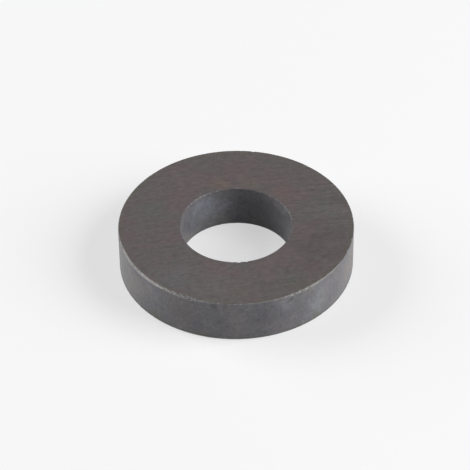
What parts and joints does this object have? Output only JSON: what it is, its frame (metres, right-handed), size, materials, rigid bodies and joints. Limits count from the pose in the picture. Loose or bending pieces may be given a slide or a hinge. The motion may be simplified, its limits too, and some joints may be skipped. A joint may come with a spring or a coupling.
{
  "type": "ring magnet",
  "caption": "Flat ring magnet of dark sintered ferrite: a thick washer with a round central bore, ground faces and fine chipped bevels.",
  "frame": {"origin": "centre of the lower ground face, on the ring's axis", "axes": "+Z along the ring's axis, from the lower face to the upper one; +X and +Y lie in the lower face, and the widest bevel of the upper edge faces towards -X"},
  "size_m": [0.0454, 0.0454, 0.009],
  "materials": {
    "ferrite": "satin"
  },
  "bodies": {
    "root": {"ring_magnet": "ferrite"}
  },
  "joints": []
}
